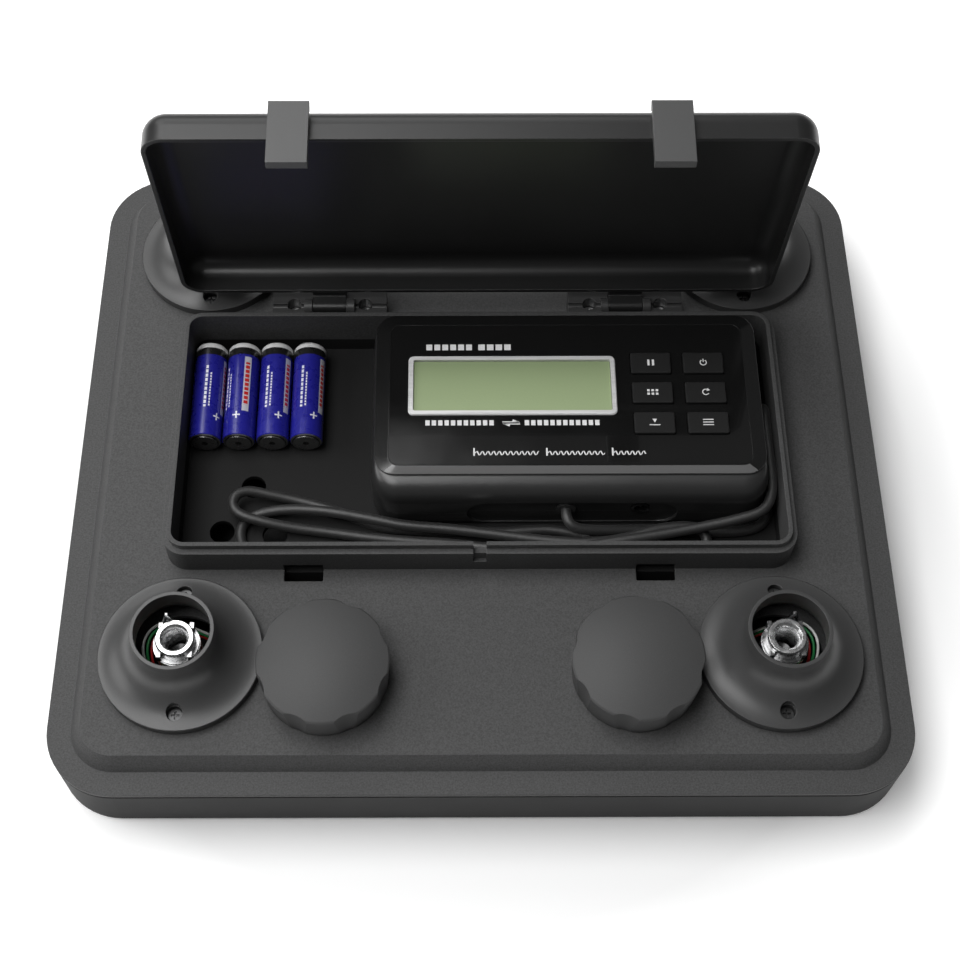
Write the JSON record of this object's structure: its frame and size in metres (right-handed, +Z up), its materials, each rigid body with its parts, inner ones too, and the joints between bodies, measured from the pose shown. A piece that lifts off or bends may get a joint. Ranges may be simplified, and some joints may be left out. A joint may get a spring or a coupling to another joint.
{
  "type": "platform scale",
  "caption": "Low platform scale lying upside down, its underside storage compartment open on a detachable wired indicator, loose screw-in feet and spare cells.",
  "frame": {"origin": "middle of the base in plan, on the surface the scale lies on", "axes": "+Z up, away from the weighing face; +X towards the indicator's end of the compartment; +Y towards the lid's hinges"},
  "size_m": [0.354, 0.312, 0.1825],
  "materials": {
    "deck_plastic": "fine grain, dark grey",
    "cover_plastic": "fine spark-eroded grain, dark grey",
    "housing_plastic": "satin, dark grey",
    "lid_plastic": "satin, near black",
    "latch_plastic": "satin, mid grey",
    "knob_plastic": "satin, dark grey",
    "shell_plastic": "satin, near black",
    "frame_plastic": "satin, grey bevel",
    "panel_gloss": "high gloss, black",
    "display_silver": "satin silver",
    "display_lcd": "green-grey reflective display",
    "key_rubber": "matte, dark grey",
    "socket_chrome": "bright plated",
    "cell_aluminium": "milled",
    "bracket_steel": "zinc plated",
    "plate_steel": "bright plated",
    "pin_steel": "ground",
    "stud_steel": "zinc plated",
    "contact_steel": "nickel plated",
    "screw_steel": "zinc plated",
    "board": "green lacquer",
    "battery_wrap": "deep blue wrap, silver ends",
    "socket_black": "black",
    "bush_rubber": "matte black",
    "cord_rubber": "matte black",
    "wire_plastic": "red, green and white insulation"
  },
  "bodies": {
    "scale_base": {"platform_deck": "deck_plastic", "bottom_cover": "cover_plastic", "foot_housing_front_left": "housing_plastic", "foot_housing_front_right": "housing_plastic", "foot_housing_rear_left": "housing_plastic", "foot_housing_rear_right": "housing_plastic", "load_cell_front_left": "cell_aluminium", "load_cell_front_right": "cell_aluminium", "load_cell_rear_left": "cell_aluminium", "load_cell_rear_right": "cell_aluminium", "socket_nut_front_left": "socket_chrome", "socket_nut_front_right": "socket_chrome", "socket_nut_rear_left": "socket_chrome", "socket_nut_rear_right": "socket_chrome", "cell_brackets": "bracket_steel", "socket_plates": "plate_steel", "junction_board": "board", "hinge_bracket_left": "cover_plastic", "hinge_bracket_right": "cover_plastic", "hinge_pins": "pin_steel", "housing_screws": "screw_steel", "hinge_screws": "screw_steel", "cell_bolts": "screw_steel", "cell_wires": "wire_plastic", "cord_grommet": "bush_rubber", "indicator_cord": "cord_rubber"},
    "lid": {"lid_shell": "lid_plastic", "latch_pins": "pin_steel"},
    "left_latch": {"latch_clip_left": "latch_plastic"},
    "right_latch": {"latch_clip_right": "latch_plastic"},
    "indicator": {"indicator_lower_shell": "shell_plastic", "indicator_upper_shell": "shell_plastic", "cover_frame": "frame_plastic", "gloss_panel": "panel_gloss", "display_frame": "display_silver", "display_glass": "display_lcd", "circuit_board": "board", "battery_door": "shell_plastic", "battery_contacts": "contact_steel", "power_socket": "socket_black", "indicator_screws": "screw_steel", "cord_strain_relief": "bush_rubber"},
    "hold_button": {"key_hold": "key_rubber"},
    "power_button": {"key_power": "key_rubber"},
    "count_button": {"key_count": "key_rubber"},
    "recall_button": {"key_recall": "key_rubber"},
    "tare_button": {"key_tare": "key_rubber"},
    "mode_button": {"key_mode": "key_rubber"},
    "loose_cell_1": {"battery_1": "battery_wrap"},
    "loose_cell_2": {"battery_2": "battery_wrap"},
    "loose_cell_3": {"battery_3": "battery_wrap"},
    "loose_cell_4": {"battery_4": "battery_wrap"},
    "loose_foot_front_left": {"foot_knob_front_left": "knob_plastic", "foot_stud_front_left": "stud_steel"},
    "loose_foot_front_right": {"foot_knob_front_right": "knob_plastic", "foot_stud_front_right": "stud_steel"},
    "loose_foot_rear_left": {"foot_knob_rear_left": "knob_plastic", "foot_stud_rear_left": "stud_steel"},
    "loose_foot_rear_right": {"foot_knob_rear_right": "knob_plastic", "foot_stud_rear_right": "stud_steel"}
  },
  "joints": [
    {"name": "lid_hinge", "type": "hinge", "parent": "scale_base", "child": "lid", "pos_m": [0, 0.06846, 0.0488], "axis": [-1, 0, 0], "range_deg": [-83.84, 0]},
    {"name": "latch_left_pivot", "type": "hinge", "parent": "lid", "child": "left_latch", "pos_m": [-0.0746, 0.0699, 0.17897], "axis": [-1, 0, 0], "range_deg": [0, 60]},
    {"name": "latch_right_pivot", "type": "hinge", "parent": "lid", "child": "right_latch", "pos_m": [0.0746, 0.0699, 0.17897], "axis": [-1, 0, 0], "range_deg": [0, 60]},
    {"name": "hold_press", "type": "slide", "parent": "indicator", "child": "hold_button", "axis": [0, 0, -1], "range_m": [0, 0.0008], "stiffness_N_per_m": 500},
    {"name": "power_press", "type": "slide", "parent": "indicator", "child": "power_button", "axis": [0, 0, -1], "range_m": [0, 0.0008], "stiffness_N_per_m": 500},
    {"name": "count_press", "type": "slide", "parent": "indicator", "child": "count_button", "axis": [0, 0, -1], "range_m": [0, 0.0008], "stiffness_N_per_m": 500},
    {"name": "recall_press", "type": "slide", "parent": "indicator", "child": "recall_button", "axis": [0, 0, -1], "range_m": [0, 0.0008], "stiffness_N_per_m": 500},
    {"name": "tare_press", "type": "slide", "parent": "indicator", "child": "tare_button", "axis": [0, 0, -1], "range_m": [0, 0.0008], "stiffness_N_per_m": 500},
    {"name": "mode_press", "type": "slide", "parent": "indicator", "child": "mode_button", "axis": [0, 0, -1], "range_m": [0, 0.0008], "stiffness_N_per_m": 500},
    {"name": "indicator_lift", "type": "slide", "parent": "scale_base", "child": "indicator", "axis": [0, 0, 1], "range_m": [0, 0.04]},
    {"name": "battery_1_lift", "type": "slide", "parent": "scale_base", "child": "loose_cell_1", "axis": [0, 0, 1], "range_m": [0, 0.06]},
    {"name": "battery_2_lift", "type": "slide", "parent": "scale_base", "child": "loose_cell_2", "axis": [0, 0, 1], "range_m": [0, 0.06]},
    {"name": "battery_3_lift", "type": "slide", "parent": "scale_base", "child": "loose_cell_3", "axis": [0, 0, 1], "range_m": [0, 0.06]},
    {"name": "battery_4_lift", "type": "slide", "parent": "scale_base", "child": "loose_cell_4", "axis": [0, 0, 1], "range_m": [0, 0.06]},
    {"name": "foot_front_left_lift", "type": "slide", "parent": "scale_base", "child": "loose_foot_front_left", "axis": [0, 0, 1], "range_m": [0, 0.05]},
    {"name": "foot_front_right_lift", "type": "slide", "parent": "scale_base", "child": "loose_foot_front_right", "axis": [0, 0, 1], "range_m": [0, 0.05]},
    {"name": "foot_rear_left_lift", "type": "slide", "parent": "scale_base", "child": "loose_foot_rear_left", "axis": [0, 0, 1], "range_m": [0, 0.05]},
    {"name": "foot_rear_right_lift", "type": "slide", "parent": "scale_base", "child": "loose_foot_rear_right", "axis": [0, 0, 1], "range_m": [0, 0.05]}
  ]
}
